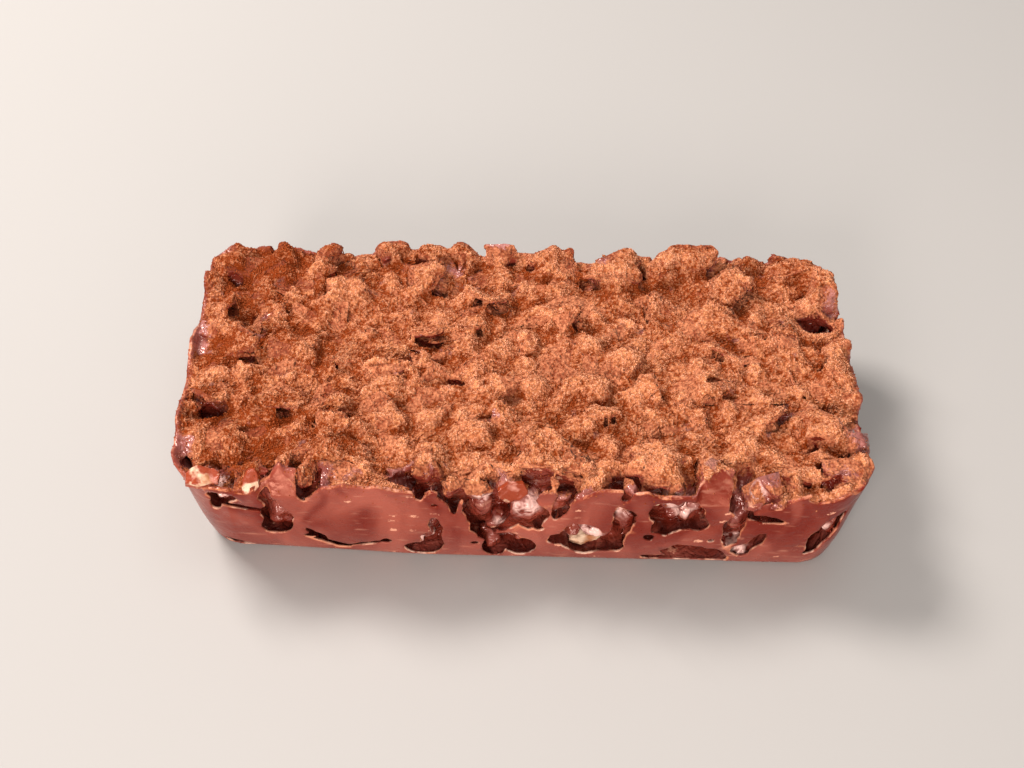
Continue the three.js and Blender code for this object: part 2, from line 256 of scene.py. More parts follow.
# Lobes of the openings in the front wall, as (along, height, half-length, half-height, tilt in degrees).
FRONT_OPENINGS = [
    (-90.3, 32.8, 4.4, 2.3, -5), (-92.2, 28.4, 1.8, 3.2, 0), (-84.6, 26.9, 5.8, 1.0, -24),
    (-88, 2.2, 4.4, 1.5, -16), (-75.2, 15.2, 4.9, 5.3, 0), (-74.4, 22.4, 4.4, 6.2, 0), (-75.6, 31, 2.3, 5.6, 5),
    (-64.5, 38.4, 2.2, 5.4, -6), (-63.4, 10.4, 3.6, 1.1, -50), (-58.8, 5.6, 4.8, 1.2, -20),
    (-65.2, 9.4, 1.6, 0.8, 10), (-41.5, 9, 1.2, 1.1, 0), (-47.4, 6.6, 4.8, 0.5, 20), (-31, 5.8, 5, 3.7, 0),
    (-26.8, 9, 3.6, 6.6, 0), (-25.6, 17, 1.7, 5.2, 5), (-30, 38, 1.0, 3.4, 0), (-20.4, 38, 3.3, 5.4, 0),
    (-20, 31.4, 1.2, 4.8, 0), (-25.7, 31, 0.8, 0.7, 0), (-13.7, 9.3, 0.9, 0.8, 0), (-12, 30, 4.6, 11, 6),
    (-5.6, 25, 6.2, 7.6, 0), (3, 26.8, 5.6, 8.6, 0), (-11, 17, 2.6, 6.2, 8), (-1, 38, 8, 5.4, 0),
    (-8, 6.4, 3.7, 4.3, 0), (1, 8, 4.7, 5.1, 0), (-5, 12.8, 4.8, 3.2, 0), (6.7, 19, 1.2, 1.0, 0),
    (6.7, 30.7, 1.1, 1.1, 0), (12.6, 30, 2.2, 5.8, -14), (14.4, 12.6, 4.6, 2.9, 14), (20.5, 13, 6.6, 8.2, 0),
    (27, 11.6, 5.8, 6, -20), (31, 16, 2.4, 6.2, -14), (33, 24, 2.7, 6.6, 10), (32.5, 39.4, 1.4, 3.8, 0),
    (44.5, 28.6, 4.8, 6.6, 8), (51, 28, 5.6, 7.2, 0), (46, 21.6, 4.2, 4.6, 0), (56, 24, 3.4, 3.6, -30),
    (41.4, 15.2, 1.3, 1.5, 0), (60.6, 13.9, 0.7, 0.6, 0), (44.5, 2.6, 4.2, 1.5, -10), (54, 5.8, 7.4, 5, 0),
    (61.4, 4.6, 5.2, 3.8, -15), (67, 22, 2.3, 10.4, -6), (69.4, 36, 4.4, 7, -24), (75, 39.4, 4.6, 4.6, 0),
    (76, 27, 5.2, 1.9, -12), (74, 13, 2.1, 5.7, -24), (71, 8.5, 3.2, 3.6, 0), (90.5, 40.4, 3.6, 3, 0),
    (95.4, 18.4, 2.8, 10.4, -20),
]

# How high the front wall's skin stands, as (along, height): peaks, notches and the gaps where lumps look out.
FRONT_RIM = [
    (-110, 36), (-98, 36.5), (-90, 37.5), (-82, 35), (-79.4, 37.5), (-75.5, 39.4), (-72.2, 42.6), (-69.4, 39.4),
    (-66.9, 36), (-65.9, 32), (-64, 32.5), (-62.5, 36), (-59, 39.5), (-52.5, 42), (-48.5, 40.5), (-45, 40),
    (-42, 41.5), (-38, 39), (-32, 38.5), (-31, 34), (-29, 34), (-27, 38), (-23.5, 39), (-22.5, 33), (-20, 26),
    (-17.5, 33), (-15, 31.5), (-13.5, 26), (5, 30), (6, 33.5), (9.6, 33.2), (11, 31), (13.5, 26), (15, 32),
    (18.5, 35.5), (23.5, 41), (27.5, 43), (31, 42.5), (33, 37), (34.5, 40), (38.5, 41), (41, 39), (54, 38.5),
    (56, 40), (58, 41.8), (60.5, 42.6), (62.6, 42.2), (64.6, 40), (66, 36), (67, 29), (71, 28), (73, 31), (80, 33),
    (81.5, 37), (84, 39.6), (87, 42.2), (89.6, 39.6), (94.5, 38), (99, 41.5), (103, 39), (110, 37),
]

# Tall pieces of the front wall's skin that fold inward over the heap, as (x, half-length, mm inward per mm up).
FOLDED_SKIN = [(-72.6, 6.6, 0.85), (60.4, 6.4, 1.05)]
FOLD_HEIGHT = 34.0

# Painted highlights, pale lilac or cream, on the coating behind the front wall, as (along, height, radius).
PAINTED_PALE_HIGHLIGHTS = [
    (1.9, 27.5, 5.4), (-5.6, 17.4, 2.8), (-10.7, 32, 3), (-6.5, 9.7, 1.8), (22.9, 15.3, 4.8), (17, 7, 3.4),
    (22.5, 7.4, 3.4), (31.3, 25.9, 3.4), (47.2, 34, 4), (20.6, 41, 3), (69.5, 3.8, 5.4), (52.5, 27.2, 4.8),
    (82, 42, 3), (72.5, 37, 4), (78.3, 26, 3), (-22.5, 8.6, 2), (-28.8, 12, 3.4), (-68.5, 13.6, 2.6),
    (-41, 40.5, 3), (-59.2, 42, 3), (-31, 5, 2.6), (95, 20, 3), (-90, 33, 2.4), (61, 4, 2.4), (49, 5, 2),
]

# Coated biscuit behind the openings of the front wall, as (along, height, depth of its middle, radius, stretch up).
FRONT_FILLING = [
    (3.2, 26.4, 5.4, 5.6, 1.5), (-31, 6, 4.6, 3.2, 1), (-27.4, 10.4, 4.4, 2.8, 1.2), (-25.6, 16.4, 4.6, 2.2, 1.2),
    (-9.4, 6, 5, 3.2, 1), (-2.6, 10.4, 4.8, 3.2, 1), (3, 6.4, 5.2, 2.8, 1), (24.3, 15, 4.8, 5, 0.9),
    (17.4, 9.6, 5.8, 3.4, 0.8), (29.6, 9.6, 6, 3, 1), (46.5, 34.8, 4.8, 4.6, 0.9), (52, 24.6, 6.4, 5, 1),
    (55, 31.4, 6, 4.2, 1), (47, 26.4, 6, 3, 1.2), (-74.6, 20, 6.6, 5, 1.1), (-77, 12.4, 6.4, 3.8, 0.9),
    (-72.6, 14, 5.6, 2.6, 1.2), (69, 24, 5.4, 4, 1.4), (72, 34.6, 5, 4.6, 1), (73, 4, 4.6, 6, 0.7),
    (50, 4.8, 6.2, 3.2, 0.8), (56, 6.4, 6, 3.2, 0.9), (62, 4.6, 6.2, 2.8, 0.8), (12.6, 29.4, 4.6, 3, 1.6),
    (32.4, 22, 4.4, 3.4, 1.4), (-89, 33, 5.4, 3.6, 0.8), (-12, 25, 7, 4.6, 1.2), (-12, 34, 6.4, 4.6, 1),
    (-6, 17, 5.4, 4, 1), (96, 20, 5.4, 4, 1.4), (-58, 6, 4.6, 3.4, 0.8), (-20, 36, 5.2, 4, 1),
    (-64.5, 38, 5, 3.4, 1), (-2, 36, 6.4, 5, 1), (75, 38, 5.8, 5, 0.8), (80, 30, 5, 4, 1), (-75.4, 31, 5, 3.6, 1),
    (49, 38, 5.6, 4, 0.8), (-46.5, 4.2, 3.2, 2.6, 0.8), (33, 39, 5, 3, 1),
]


def ordinary_lumps():
    """Lumps at about one pitch from each other all over the heap."""
    draw = seeded_random(7)
    lumps = []
    columns = round((2 * BASE_HALF_LENGTH + 12) / LUMP_PITCH)
    rows = round((2 * BASE_HALF_WIDTH + 12) / LUMP_PITCH)
    for i in range(columns + 1):
        for j in range(rows + 1):
            x = (i - columns / 2 + draw(-0.38, 0.38)) * LUMP_PITCH
            y = (j - rows / 2 + draw(-0.38, 0.38)) * LUMP_PITCH
            radius = draw(3.6, 8)
            lumps.append((x, y, radius, HEAP_LEVEL + draw(-1.4, 2.4)))
    return lumps


# Kinds of opening: lowest and highest start, lobes, half-length, half-height, and the step to the next lobe.
OPENING_KINDS = [
    (4, 8, 4, (3, 7), (1.8, 5), (6, 2)),
    (8, 13, 5, (2, 5.6), (3, 6.5), (3, 6)),
    (17, 27, 4, (3, 7), (2.5, 6.5), (6, 4)),
    (10, 20, 5, (2, 7), (2, 6), (6, 6)),
    (6, 28, 1, (0.7, 1.4), (0.6, 1.2), (0, 0)),
    (8, 26, 3, (2.5, 6), (0.6, 1.6), (5, 2)),
]


def scattered_openings(seed, count, half_span):
    """Openings in a wall that has none by name: mouths at the foot, tall and wide ones, bubbles and cracks."""
    draw = seeded_random(seed)
    lobes = []
    for i in range(count):
        along = half_span * (2 * (i + draw(0.05, 0.95)) / count - 1)
        lowest, highest, lobe_count, lengths, heights, step = OPENING_KINDS[int(draw() * len(OPENING_KINDS))]
        z = draw(lowest, highest)
        tilt = draw(-35, 35)
        for _ in range(lobe_count):
            lobes.append((along, z, draw(*lengths), draw(*heights), tilt))
            along += draw(-1, 1) * step[0]
            z += draw(-0.3, 1) * step[1]
    return lobes


# Each wall, as (the axis it stands across, the way it faces, the way its lengths run).
WALLS = {"front": (1, -1, 1), "back": (1, 1, -1), "left": (0, -1, -1), "right": (0, 1, 1)}
BASE_HALF = (BASE_HALF_LENGTH, BASE_HALF_WIDTH)
OPENINGS = {
    "front": FRONT_OPENINGS,
    "back": scattered_openings(38, 15, BASE_HALF_LENGTH * 0.86),
    "right": scattered_openings(34, 7, BASE_HALF_WIDTH * 0.74),
    "left": scattered_openings(37, 7, BASE_HALF_WIDTH * 0.74),
}


# ---------------- the cake as a field on a grid
class Cake:
    """Distances to the cake's surface on a grid, below zero inside, with the axes and the wall depth it needs."""

    def __init__(self):
        rim_x = BASE_HALF_LENGTH + HEAP_CEILING * WALL_SLOPE
        rim_y = BASE_HALF_WIDTH + HEAP_CEILING * WALL_SLOPE
        self.x = np.arange(-rim_x - 2, rim_x + 2, VOXEL, dtype=np.float32)
        self.y = np.arange(-rim_y - 2, rim_y + 2, VOXEL, dtype=np.float32)
        self.z = np.arange(-1.5, HEAP_CEILING + 2, VOXEL, dtype=np.float32)
        self.axes = (self.x, self.y, self.z)
        self.grid = np.meshgrid(*self.axes, indexing="ij", sparse=True)
        self.warped = self.warp()
        self.side = self.side_distance()
        self.mouth = np.full(self.side.shape, 9.0, np.float32)
        self.field = None  # filled by build_field

    def warp(self):
        """Coordinates bent by noise, which makes every lump and flake uneven."""
        return [
            layered(self.axes, (1.4, 6.5, 11 + k), (0.6, 2.6, 21 + k), (0.24, 1.3, 31 + k), base=self.grid[k])
            for k in range(3)
        ]

    def side_distance(self):
        """How far out of the tin's walls a point lies; inside the cake it is minus the depth behind the wall."""
        X, Y, Z = self.grid
        grow = np.maximum(Z, 0) * WALL_SLOPE
        # The front corners are worn rounder towards the rim, the left end draws in towards the front, and the
        # front wall stands further out at its foot than the tin's taper says.
        front = Y < 0
        corner = CORNER_RADIUS + np.where(front, RIM_WEAR * smoothstep(8, HEAP_LEVEL, Z), 0)
        drawn_in = np.where(X < 0, END_SKEW * smoothstep(10, -50, Y), 0)
        foot = np.where(front, FOOT_SPREAD * smoothstep(-88, -20, X) * smoothstep(HEAP_LEVEL, 0, Z), 0)
        across_x = np.abs(X) - (BASE_HALF_LENGTH + grow - corner) + drawn_in
        across_y = np.abs(Y) - (BASE_HALF_WIDTH + grow - corner) - foot
        side = rounded_distance(across_x, across_y, corner) * cos(atan(WALL_SLOPE))
        self.folded = 0
        for x, half_length, lean in FOLDED_SKIN:
            folded = np.where(front, 1 - smoothstep(half_length - 1.2, half_length + 1.2, np.abs(X - x)), 0)
            side = side + lean * folded * np.maximum(Z - FOLD_HEIGHT, 0)
            self.folded = self.folded + folded * smoothstep(FOLD_HEIGHT, FOLD_HEIGHT + 2, Z)
        return side.astype(np.float32)

    def window(self, centre, reach):
        """The part of the grid within reach of a point."""
        parts = []
        for axis, middle in zip(self.axes, centre):
            low = np.searchsorted(axis, middle - reach)
            high = np.searchsorted(axis, middle + reach)
            parts.append(slice(low, max(high, low + 1)))
        return tuple(parts)

    def local(self, part, centre, turn):
        """Bent coordinates about a centre, turned by a rotation, within part of the grid."""
        moved = [w[part] - c for w, c in zip(self.warped, centre)]
        return [sum(float(turn[k][i]) * moved[k] for k in range(3)) for i in range(3)]

    def add(self, part, distance, fillet, inset):
        held = np.maximum(distance, self.side[part] + inset)
        self.field[part] = soft_min(self.field[part], held, fillet)

    def add_lump(self, centre, radii, turn, power, fillet, inset, facets):
        """A lump of coated biscuit. Each facet, a direction and a share of the radius, is a snapped face."""
        part = self.window(centre, max(radii) + 3.5)
        x, y, z = self.local(part, centre, turn)
        ratio = sum(np.abs(c / radius) ** power for c, radius in zip((x, y, z), radii))
        distance = (ratio ** (1 / power) - 1) * min(radii)
        for (along_x, along_y, along_z), share in facets:
            off = x * along_x + y * along_y + z * along_z - share * max(radii)
            distance = soft_max(distance, off, 0.4)
        self.add(part, distance, fillet, inset)

    def add_flake(self, centre, radius, thickness, turn, cup, lobed):
        """A thin cupped flake with a lobed outline."""
        part = self.window(centre, radius + 3.5)
        x, y, z = self.local(part, centre, turn)
        round_it = np.arctan2(y, x)
        wavy = 1 + 0.16 * np.sin(2 * round_it + lobed) + 0.12 * np.sin(3 * round_it + 2 * lobed)
        across = np.hypot(x, y * 1.2) * (wavy + 0.07 * np.sin(7 * round_it + 3 * lobed))
        rise = z - cup * across ** 2 / radius
        distance = soft_max(across - radius, np.abs(rise) - thickness / 2, 0.6)
        self.add(part, distance, 0.5, 0.7)

    def carve(self, part, distance, fillet=0.5):
        self.field[part] = soft_max(self.field[part], -distance, fillet)


def broken_facets(draw, count):
    """Directions and depths of the snapped faces of one piece of biscuit."""
    facets = []
    for _ in range(count):
        round_it, rise = draw(0, 2 * pi), draw(-0.5, 0.8)
        level = sqrt(1 - rise * rise)
        facets.append(((level * cos(round_it), level * sin(round_it), rise), draw(0.45, 0.85)))
    return facets


def turned(**degrees):
    """A turn about the named axes."""
    turn = Matrix.Identity(3)
    for axis, angle in degrees.items():
        turn = turn @ Matrix.Rotation(radians(angle), 3, axis)
    return turn


def any_turn(draw, most=180):
    return turned(**{axis: draw(-most, most) for axis in "XYZ"})


def lump_crown(x, y, lumps):
    """Height of the heap at a point, from its lumps and the ground between them."""
    height = HEAP_LEVEL - VALLEY_DROP + float(wobble(x, y))
    for lx, ly, radius, crown in lumps:
        away = hypot(x - lx, y - ly) / radius
        if away < 1:
            height = max(height, crown - 5.5 * (1 - sqrt(1 - away * away)))
    return min(height, HEAP_CEILING)


def side_openings(cake, side):
    """The openings of one wall as a flat field along it and up it, ragged by noise."""
    axis, _, flip = WALLS[side]
    across = cake.axes[1 - axis]
    U, V = np.meshgrid(across * flip, cake.z, indexing="ij")
    seed = 40 + 7 * list(OPENINGS).index(side)
    bend_u, bend_v = (
        layered((across, cake.z), (0.9, 4.2, seed + k), (0.45, 1.8, seed + k + 1), (0.2, 0.95, seed + k + 2))
        for k in (0, 3)
    )
    field = np.full(U.shape, 30.0, np.float32)
    power = 1.8  # an outline between a diamond (1) and an ellipse (2)
    for along, z, half_length, half_height, tilt in OPENINGS[side]:
        c, s = cos(radians(tilt)), sin(radians(tilt))
        bent = min(1.25, 0.45 * min(half_length, half_height))
        du = U + bent * bend_u - along
        dv = V + bent * bend_v - z
        ratio = np.abs((du * c + dv * s) / half_length) ** power + np.abs((dv * c - du * s) / half_height) ** power
        distance = (ratio ** (1 / power) - 1) * min(half_length, half_height)
        field = soft_min(field, distance, 0.6)
    if side != "front":
        uneven = 2.0 * noise((across, cake.z), 9, seed + 6)
        furthest = across[-1] - CORNER_RADIUS - (8.5 if side == "back" else 14)
        field = soft_max(field, np.maximum(V - OPENINGS_TOP, np.abs(U) - furthest) - uneven, 3.0)
    return np.maximum(field - 0.3, 1.0 - V)


def wall_part(cake, side):
    """The part of the grid that a wall and the hollows behind it lie in."""
    axis, facing, _ = WALLS[side]
    edge = np.searchsorted(cake.axes[axis], facing * (BASE_HALF[axis] - DEEPEST_HOLLOW))
    part = [slice(None)] * 3
    part[axis] = slice(edge, None) if facing > 0 else slice(0, edge)
    return tuple(part)


def build_field(cake):
    """Fills the cake's field: first the body, then the heap, pits and flakes on it, then the openings."""
    lumps = NAMED_LUMPS + ordinary_lumps()
    _, Y, Z = cake.grid
    flat_axes = (cake.x, cake.y)
    FX, FY = np.meshgrid(*flat_axes, indexing="ij")

    # The body: the tin's shape up to the ground between the lumps, with the skin standing higher at the walls.
    ground = HEAP_LEVEL - VALLEY_DROP - 0.4 + wobble(FX, FY) + 0.7 * noise(flat_axes, 5, 3)
    skin_top = layered(flat_axes, (2.2, 14, 5), (1.9, 6.5, 6), (0.8, 2.6, 4), base=37)
    skin_top -= 7 * smoothstep(0.6, 1.2, noise(flat_axes, 11, 10))
    skin_top -= 1.8 * smoothstep(96, 104, FX) + 1.0 * smoothstep(44, 50, FY)
    front_top = layered(flat_axes, (0.7, 2.6, 7), (0.35, 1.2, 9), base=np.interp(FX, *zip(*FRONT_RIM)))
    at_front = smoothstep(-46, -51, FY)
    for x, half_length, _ in FOLDED_SKIN:
        at_front = np.maximum(at_front, smoothstep(-40, -43, FY) * (np.abs(FX - x) < half_length + 1))
    skin_top = skin_top + (front_top - skin_top) * at_front
    ground = ground[:, :, None]
    skin_top = skin_top[:, :, None]
    near_wall = smoothstep(-SKIN - 0.7 - 1.4 * (Y < 0) - cake.folded, -SKIN - 0.1 - 0.8 * cake.folded, cake.side)
    top = Z - (ground + (np.minimum(skin_top, HEAP_CEILING - 0.6) - ground) * near_wall)
    body = soft_max(cake.side + 0.12 * noise(cake.axes, 9, 8), top, 0.5)
    cake.mouth = np.where(cake.side > -1.6, np.abs(skin_top - Z), 9.0).astype(np.float32)
    cake.field = soft_max(body, -Z + 0 * body, 2 * FOOT_RADIUS).astype(np.float32)

    # The heap: lumps, and smaller crumbs between them.
    draw = seeded_random(101)
    for x, y, radius, crown in lumps:
        rise = min(radius * 0.85, 5.2)
        radii = (radius * draw(0.85, 1.05), radius * draw(0.85, 1.05), rise)
        cake.add_lump((x, y, crown - rise), radii, any_turn(draw, 24), draw(2.1, 3.2), 1.5,
                      0.9 if y < 0 and x < 95 else 0.5, broken_facets(draw, 4))
    for _ in range(CRUMB_COUNT):
        x = draw(-1, 1) * (BASE_HALF_LENGTH + 6)
        y = draw(-1, 1) * (BASE_HALF_WIDTH + 6)
        radius = draw(0.9, 2.5)
        z = lump_crown(x, y, lumps) - radius * draw(0.2, 1.0)
        radii = [radius * draw(0.8, 1.2) for _ in range(3)]
        cake.add_lump((x, y, min(z, HEAP_CEILING - radius - 0.6)), radii, any_turn(draw), 2.6, 0.8, 0.9,
                      broken_facets(draw, 1))

    # Pits between the lumps.
    for x, y, half_length, half_width, depth, tilt in NAMED_PITS:
        z = lump_crown(x, y, lumps) - depth * 0.1
        part = cake.window((x, y, z), max(half_length, half_width, depth) + 3)
        dx, dy, dz = cake.local(part, (x, y, z), turned(Z=tilt, X=18))
        ratio = np.sqrt((dx / half_length) ** 2 + (dy / half_width) ** 2 + (dz / depth) ** 2)
        cake.carve(part, (ratio - 1) * min(half_length, half_width, depth))
        for _ in range(4):
            round_it = draw(0, 2 * pi)
            low = z - depth * draw(0.3, 0.7)
            spot = (x + half_length * cos(round_it), y + half_width * sin(round_it), low)
            radii = [draw(1, 2.6) for _ in range(3)]
            cake.add_lump(spot, radii, any_turn(draw), 2.6, 0.6, 0.9, broken_facets(draw, 1))

    # Thin flakes of chocolate lying over lumps and pits.
    for i, (x, y, z, radius, tip, roll) in enumerate(NAMED_FLAKES):
        cake.add_flake((x, y, z - (0.8 if i else 0)), radius, 1.5, turned(X=tip, Y=roll), 0.12, 1.7 * i)
    for i in range(FLAKE_COUNT):
        x = draw(-1, 1) * (BASE_HALF_LENGTH + 2)
        y = draw(-1, 1) * (BASE_HALF_WIDTH + 2)
        radius = draw(2.6, 6)
        turn = any_turn(draw, 34)
        z = min(lump_crown(x, y, lumps) + draw(-1.2, 0.3), HEAP_CEILING - 0.5 * radius)
        cake.add_flake((x, y, z), radius, 1.3, turn, draw(-0.15, 0.15), 2.3 * i)

    # Coated crumb is craggy everywhere but on the skin that lay against the tin.
    rough = layered(cake.axes, (0.34, 2.6, 95), (0.2, 1.3, 96))
    cake.field += rough * smoothstep(-SKIN - 0.1, -SKIN - 0.9, cake.side) * (1 - 0.7 * smoothstep(32, 37, Z))

    # The openings, which widen behind the skin, and the coated biscuit seen through them.
    for side, (axis, _, _) in WALLS.items():
        part = wall_part(cake, side)
        depth = -cake.side[part]
        hollow = (8.2 if side == "front" else 6) + 1.4 * noise((cake.axes[1 - axis], cake.z), 6, 90)
        opening = np.expand_dims(side_openings(cake, side), axis)
        widened = opening - 2.2 * smoothstep(SKIN - 0.2, SKIN + 1.2, depth)
        widened = np.maximum(widened, 0.9 - Z + 0 * depth)
        cake.carve(part, np.maximum(widened, depth - np.expand_dims(hollow, axis)), 0.3)
        cake.mouth[part] = np.minimum(cake.mouth[part], np.where(depth < 4, opening + 0 * depth, 9.0))
    draw = seeded_random(77)
    for side in OPENINGS:
        axis, facing, flip = WALLS[side]
        filling = FRONT_FILLING if side == "front" else [
            (along + draw(-1, 1), z + draw(-1, 1), draw(4, 6), draw(2.6, 4.6), 1)
            for along, z, half_length, half_height, _ in OPENINGS[side] if min(half_length, half_height) > 1.4
        ]
        for along, z, depth, radius, stretch in filling:
            reach = facing * (BASE_HALF[axis] + z * WALL_SLOPE - depth)
            spot = (flip * along, reach) if axis else (reach, flip * along)
            radii = (radius, radius * 0.9, radius * stretch)
            cake.add_lump((*spot, z), radii, any_turn(draw, 20), 2.3, 0.7, 1.5, broken_facets(draw, 4))
    crinkle = layered(cake.axes, (0.3, 1.8, 97), base=rough) * smoothstep(3, 6, Z) * (Z < 36)
    cake.field += crinkle * smoothstep(-SKIN - 0.5, -SKIN - 1.2, cake.side) * smoothstep(-11, -9, cake.side)
    cake.field = np.maximum(cake.field, cake.side - 0.02)
    cake.field = soft_max(cake.field, Z - HEAP_CEILING + 0 * cake.field, 0.8)
    cake.field = np.maximum(cake.field, -Z)


def quad_edges(quads):
    return np.concatenate([quads[:, [i, (i + 1) % 4]] for i in range(4)])


def connected_faces(points, quads):
    """Keeps the faces of the largest connected body, so that nothing floats in the air."""
    edges = quad_edges(quads)
    label = np.arange(len(points))
    while True:
        before = label.copy()
        low = np.minimum(label[edges[:, 0]], label[edges[:, 1]])
        np.minimum.at(label, edges[:, 0], low)
        np.minimum.at(label, edges[:, 1], low)
        label = label[label]
        if np.array_equal(label, before):
            break
    kept = label == np.bincount(label).argmax()
    renumbered = np.cumsum(kept) - 1
    return points[kept], renumbered[quads[kept[quads[:, 0]]]]


def field_mesh(name, cake):
    grid = openvdb.FloatGrid(background=2.0)
    grid.copyFromArray(np.clip(cake.field, -2, 2).astype(np.float32))
    points, quads = connected_faces(*grid.convertToQuads(0.0))
    return make_mesh(name, points * VOXEL + np.array([axis[0] for axis in cake.axes]), quads)


def make_mesh(name, points, faces):
    """A mesh from millimetres. All its faces have the same number of corners."""
    faces = np.asarray(faces, np.int32)
    mesh = bpy.data.meshes.new(name)
    mesh.vertices.add(len(points))
    mesh.vertices.foreach_set("co", (np.asarray(points) * MM).astype(np.float32).ravel())
    mesh.loops.add(faces.size)
    mesh.loops.foreach_set("vertex_index", faces.ravel())
    mesh.polygons.add(len(faces))
    mesh.polygons.foreach_set("loop_start", np.arange(0, faces.size, faces.shape[1], dtype=np.int32))
    mesh.update(calc_edges=True)
    mesh.validate()
    return mesh


def finish_piece(piece, material):
    """Gives a piece its material and its slot, and makes it ride the cake."""
    piece.data.materials.clear()
    piece.data.materials.append(material)
    piece.data.shade_smooth()
    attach(piece, "root")
    return piece


def plain_mesh(piece):
    """Turns a piece and its modifiers into one plain mesh."""
    depsgraph = bpy.context.evaluated_depsgraph_get()
    finished = bpy.data.meshes.new_from_object(piece.evaluated_get(depsgraph))
    piece.modifiers.clear()
    finished.name = piece.name
    piece.data = finished


def thin_out(piece, triangles, hidden):
    """Brings a piece down to a number of triangles, taking them first from the vertices that are hidden."""
    group = piece.vertex_groups.new(name="hidden")
    group.add(np.flatnonzero(hidden).tolist(), 1.0, "REPLACE")
    for group_name in ("hidden", ""):
        piece.data.calc_loop_triangles()
        now = len(piece.data.loop_triangles)
        if now > triangles:
            decimate = piece.modifiers.new("thin out", "DECIMATE")
            decimate.ratio = triangles / now
            decimate.vertex_group = group_name
            plain_mesh(piece)
    piece.vertex_groups.clear()


def vertex_values(mesh, name):
    values = np.empty(len(mesh.vertices) * 3, np.float32)
    mesh.vertices.foreach_get(name, values)
    return values.reshape(-1, 3)


def set_attribute(mesh, name, values):
    """Gives each vertex a value that a material or the scattering reads."""
    attribute = mesh.attributes.new(name, "FLOAT", "POINT")
    attribute.data.foreach_set("value", np.asarray(values, np.float32))


# ---------------- nodes
def add_node(tree, kind, inputs=(), **settings):
    """Adds a node with its settings. Each input is a value, or the output that is linked to it."""
    made = tree.nodes.new(kind)
    for key, value in settings.items():
        setattr(made, key, value)
    for key, value in dict(inputs).items():
        if isinstance(value, bpy.types.NodeSocket):
            tree.links.new(value, made.inputs[key])
        else:
            made.inputs[key].default_value = value
    return made


class Paint:
    """A material in the making, with short names for the nodes it is built from."""

    def __init__(self, name):
        self.material = bpy.data.materials.new(name)
        self.material.use_nodes = True
        self.tree = self.material.node_tree
        self.tree.nodes.clear()
        self.place = self.node("TexCoord").outputs["Object"]

    def node(self, kind, inputs=(), **settings):
        return add_node(self.tree, "ShaderNode" + kind, inputs, **settings)

    def pattern(self, kind, size, stretch, inputs):
        """A texture whose features are about `size` millimetres across, wider where `stretch` is below 1."""
        place = self.place
        if stretch:
            place = self.node("Mapping", {"Vector": place, "Scale": stretch}).outputs[0]
        return self.node(kind, {"Vector": place, "Scale": 1000.0 / size, **inputs}).outputs

    def noise(self, size, detail, distortion=0.0, stretch=None):
        return self.pattern("TexNoise", size, stretch, {"Detail": detail, "Distortion": distortion})["Fac"]

    def cells(self, size, stretch=None):
        return self.pattern("TexVoronoi", size, stretch, {})

    def along(self, axis):
        return self.node("SeparateXYZ", {"Vector": self.place}).outputs[axis]

    def attribute(self, name):
        return self.node("Attribute", attribute_name=name).outputs["Fac"]

    def remap(self, value, low, high, to_low=0.0, to_high=1.0):
        limits = {"Value": value, "From Min": low, "From Max": high, "To Min": to_low, "To Max": to_high}
        return self.node("MapRange", limits).outputs["Result"]

    def plus(self, first, *others):
        for other in others:
            first = self.node("Math", {0: first, 1: other}, operation="ADD").outputs[0]
        return first

    def times(self, first, second):
        return self.node("Math", {0: first, 1: second}, operation="MULTIPLY").outputs[0]

    def mix(self, share, *colours):
        first, second = (linear(colour) if isinstance(colour, str) else colour for colour in colours)
        return self.node("Mix", {0: share, 6: first, 7: second}, data_type="RGBA").outputs[2]

    def bump(self, strength, distance, height, **under):
        inputs = {"Strength": strength, "Distance": distance, "Height": height, **under}
        return self.node("Bump", inputs).outputs["Normal"]

    def finish(self, inputs):
        shader = self.node("BsdfPrincipled", inputs)
        self.node("OutputMaterial", {"Surface": shader.outputs[0]})
        return self.material


# ---------------- materials
def cocoa_grain(paint):
    """Heights of packed grains, a little under a millimetre across, with low gaps between them, which the colours
    paint as shade.
    """
    rounded = paint.remap(paint.cells(0.95)["Distance"], 0.15, 0.8, 0.7, 0.0)
    return paint.plus(rounded, paint.remap(paint.noise(1.7, 2.0), 0.25, 0.75))


def cocoa_colour(paint, height, crown, deep, light):
    """Cocoa powder's uneven brown: drifts of lighter and darker dust, with painted light on crowns and grain tops and
    painted shade in the gaps between.
    """
    drift = paint.noise(11, 3.0)
    # Painted shade: the cocoa is darker towards the left end and along the back.
    left = paint.remap(paint.along("X"), -0.1, -0.04, -0.4, 0.0)
    back = paint.remap(paint.along("Y"), 0.025, 0.055, 0.0, -0.15)
    painted_end_shade = paint.times(paint.plus(left, back), paint.remap(drift, 0.38, 0.62, 1.5, 0.4))
    drifts = paint.remap(drift, 0.3, 0.7, -0.2, 0.2)
    # Painted light and shade: lighter on grain tops and crowns, darker in the gaps and valleys between.
    share = paint.plus(drifts, painted_end_shade, paint.remap(height, 0.25, 1.4), crown)
    return paint.mix(paint.remap(share, 0.0, 1.0), deep, light)


def cocoa_material(name, deep, light):
    """Cocoa powder as it falls from a sieve: no gloss at all, a warm brown with painted grainy light and shade, and
    here and there a bare streak of the chocolate under it, painted lilac for its sheen."""
    paint = Paint(name)
    height = cocoa_grain(paint)
    # Painted light and shade: lighter on the heap's crowns, darker in the valleys between lumps.
    crown = paint.remap(paint.attribute("crown"), 0.0, 1.0, -0.4, 0.1)
    powder = cocoa_colour(paint, height, crown, deep, light)
    # Painted sheen: bare chocolate showing through, painted lilac as it shines.
    bare_streak_sheen = paint.times(paint.remap(paint.noise(8, 4.0), 0.66, 0.72), 0.75)
    return paint.finish({
        "Base Color": paint.mix(bare_streak_sheen, powder, "#9C6A62"), "Roughness": 1.0, "IOR": 1.4, "Specular IOR Level": 0.1,
        "Normal": paint.bump(1.0, 0.0006, height),
    })


